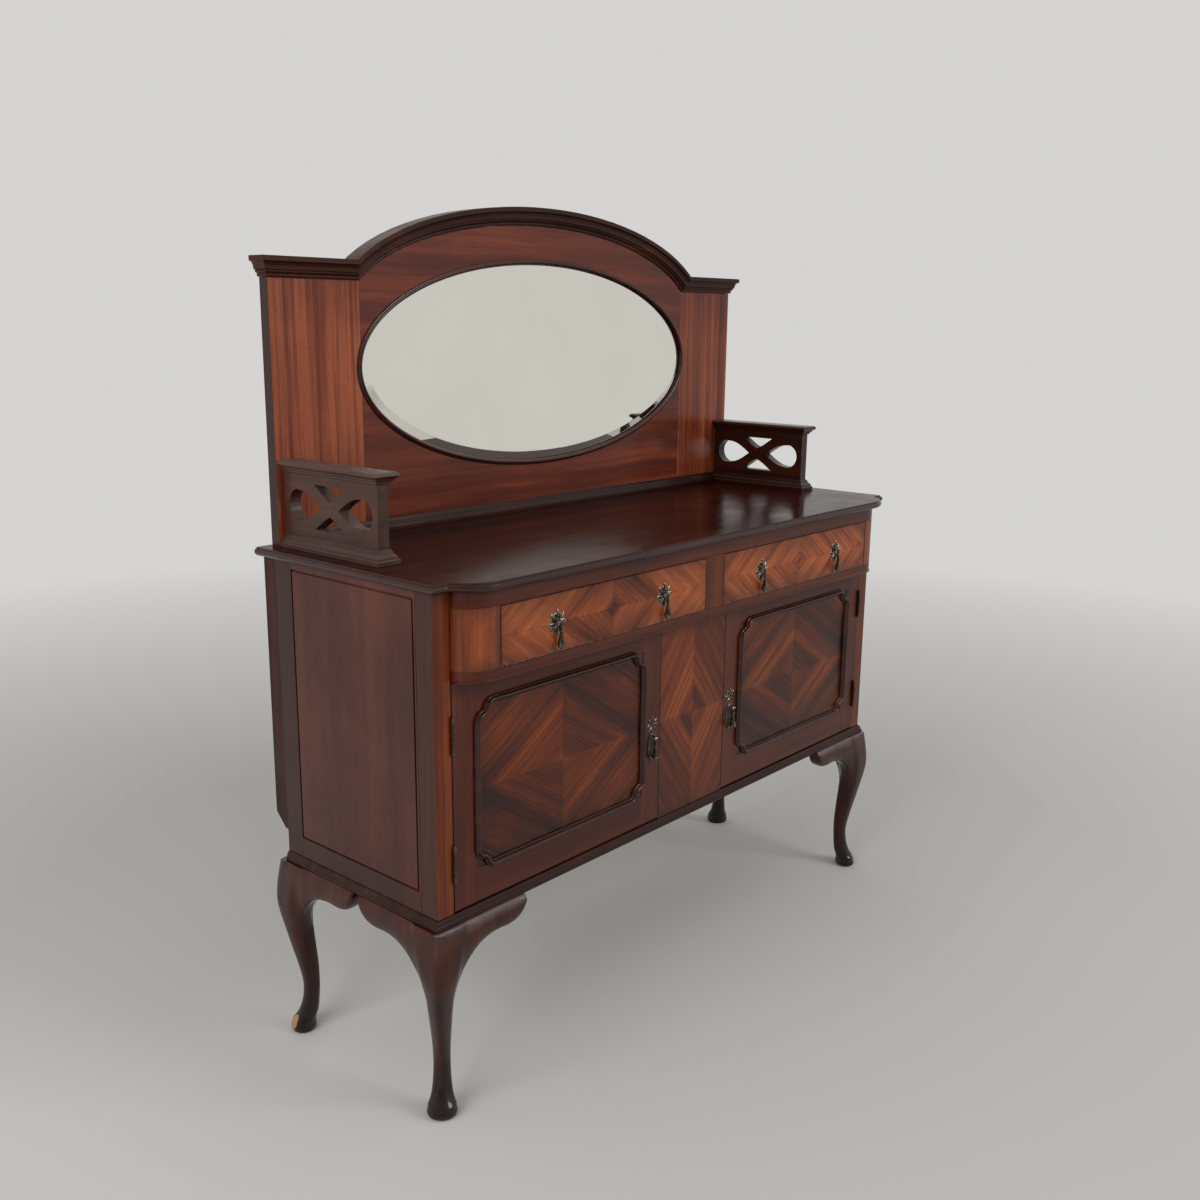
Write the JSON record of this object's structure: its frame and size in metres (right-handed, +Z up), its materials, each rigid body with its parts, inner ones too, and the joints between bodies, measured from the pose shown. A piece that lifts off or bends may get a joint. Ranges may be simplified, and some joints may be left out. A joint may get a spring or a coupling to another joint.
{
  "type": "mirror-back sideboard",
  "caption": "Mahogany sideboard on cabriole legs with frieze drawers, panelled doors, fretted end galleries and an arched mirror back with an oval bevelled glass.",
  "frame": {"origin": "centre of the bounding box at floor level, under the middle of the piece", "axes": "+X to the viewer's right along the front, -Y out of the front towards the viewer, +Z up"},
  "size_m": [1.3956, 0.51, 1.5348],
  "materials": {
    "dark_mahogany": "polished dark red-brown mahogany",
    "red_mahogany": "polished red mahogany veneer",
    "flame_veneer": "polished orange-brown figured veneer",
    "top_polish": "high-gloss near-black polish",
    "plain_pine": "plain unpolished softwood",
    "oak_lining": "plain oak drawer lining",
    "old_brass": "dark antique brass",
    "silvered_glass": "bevelled silvered glass"
  },
  "bodies": {
    "carcass": {"top_board": "top_polish", "corner_post_left": "flame_veneer", "corner_post_right": "flame_veneer", "side_left": "dark_mahogany", "side_right": "dark_mahogany", "base_board": "dark_mahogany", "leg_front_left": "dark_mahogany", "leg_front_right": "dark_mahogany", "leg_rear_left": "dark_mahogany", "leg_rear_right": "dark_mahogany", "frieze_rail": "flame_veneer", "frieze_head_rail": "flame_veneer", "frieze_end_left": "flame_veneer", "frieze_end_right": "flame_veneer", "drawer_divider": "flame_veneer", "dust_board": "plain_pine", "drawer_guide_left": "plain_pine", "drawer_guide_right": "plain_pine", "centre_panel": "flame_veneer", "carcass_back": "plain_pine", "back_batten_left": "dark_mahogany", "back_batten_right": "dark_mahogany", "mirror_board": "red_mahogany", "mirror_glass": "silvered_glass", "mirror_bead": "dark_mahogany", "mirror_backing": "plain_pine", "mirror_foot_moulding": "dark_mahogany", "cornice_arch": "dark_mahogany", "cornice_left": "dark_mahogany", "cornice_right": "dark_mahogany", "gallery_panel_left": "dark_mahogany", "gallery_panel_right": "dark_mahogany", "gallery_cap_left": "dark_mahogany", "gallery_cap_right": "dark_mahogany"},
    "door_left": {"door_frame_left": "flame_veneer", "door_panel_left": "flame_veneer", "door_moulding_left": "dark_mahogany", "hinge_lower_left": "old_brass", "hinge_upper_left": "old_brass", "door_handle_left_plate": "old_brass"},
    "door_right": {"door_frame_right": "flame_veneer", "door_panel_right": "flame_veneer", "door_moulding_right": "dark_mahogany", "hinge_lower_right": "old_brass", "hinge_upper_right": "old_brass", "door_handle_right_plate": "old_brass"},
    "door_left_drop": {"door_handle_left_drop": "old_brass"},
    "door_right_drop": {"door_handle_right_drop": "old_brass"},
    "drawer_left": {"drawer_front_left": "flame_veneer", "drawer_box_left": "oak_lining", "drawer_left_handle_left_plate": "old_brass", "drawer_left_handle_right_plate": "old_brass"},
    "drawer_right": {"drawer_front_right": "flame_veneer", "drawer_box_right": "oak_lining", "drawer_right_handle_left_plate": "old_brass", "drawer_right_handle_right_plate": "old_brass"},
    "drawer_left_drop_left": {"drawer_left_handle_left_drop": "old_brass"},
    "drawer_left_drop_right": {"drawer_left_handle_right_drop": "old_brass"},
    "drawer_right_drop_left": {"drawer_right_handle_left_drop": "old_brass"},
    "drawer_right_drop_right": {"drawer_right_handle_right_drop": "old_brass"}
  },
  "joints": [
    {"name": "door_left_swing", "type": "hinge", "parent": "carcass", "child": "door_left", "pos_m": [-0.6395, -0.1938, 0.56], "axis": [0, 0, -1], "range_deg": [0, 105]},
    {"name": "door_right_swing", "type": "hinge", "parent": "carcass", "child": "door_right", "pos_m": [0.6395, -0.1938, 0.56], "axis": [0, 0, 1], "range_deg": [0, 105]},
    {"name": "drawer_left_slide", "type": "slide", "parent": "carcass", "child": "drawer_left", "axis": [0, -1, 0], "range_m": [0, 0.3]},
    {"name": "drawer_right_slide", "type": "slide", "parent": "carcass", "child": "drawer_right", "axis": [0, -1, 0], "range_m": [0, 0.3]},
    {"name": "door_left_drop_swing", "type": "hinge", "parent": "door_left", "child": "door_left_drop", "pos_m": [-0.1282, -0.2002, 0.538], "axis": [-1, 0, 0], "range_deg": [0, 75]},
    {"name": "door_right_drop_swing", "type": "hinge", "parent": "door_right", "child": "door_right_drop", "pos_m": [0.1282, -0.2002, 0.538], "axis": [-1, 0, 0], "range_deg": [0, 75]},
    {"name": "drawer_left_drop_left_swing", "type": "hinge", "parent": "drawer_left", "child": "drawer_left_drop_left", "pos_m": [-0.443, -0.2452, 0.837], "axis": [-1, 0, 0], "range_deg": [0, 75]},
    {"name": "drawer_left_drop_right_swing", "type": "hinge", "parent": "drawer_left", "child": "drawer_left_drop_right", "pos_m": [-0.158, -0.2452, 0.837], "axis": [-1, 0, 0], "range_deg": [0, 75]},
    {"name": "drawer_right_drop_left_swing", "type": "hinge", "parent": "drawer_right", "child": "drawer_right_drop_left", "pos_m": [0.158, -0.2452, 0.837], "axis": [-1, 0, 0], "range_deg": [0, 75]},
    {"name": "drawer_right_drop_right_swing", "type": "hinge", "parent": "drawer_right", "child": "drawer_right_drop_right", "pos_m": [0.443, -0.2452, 0.837], "axis": [-1, 0, 0], "range_deg": [0, 75]}
  ]
}
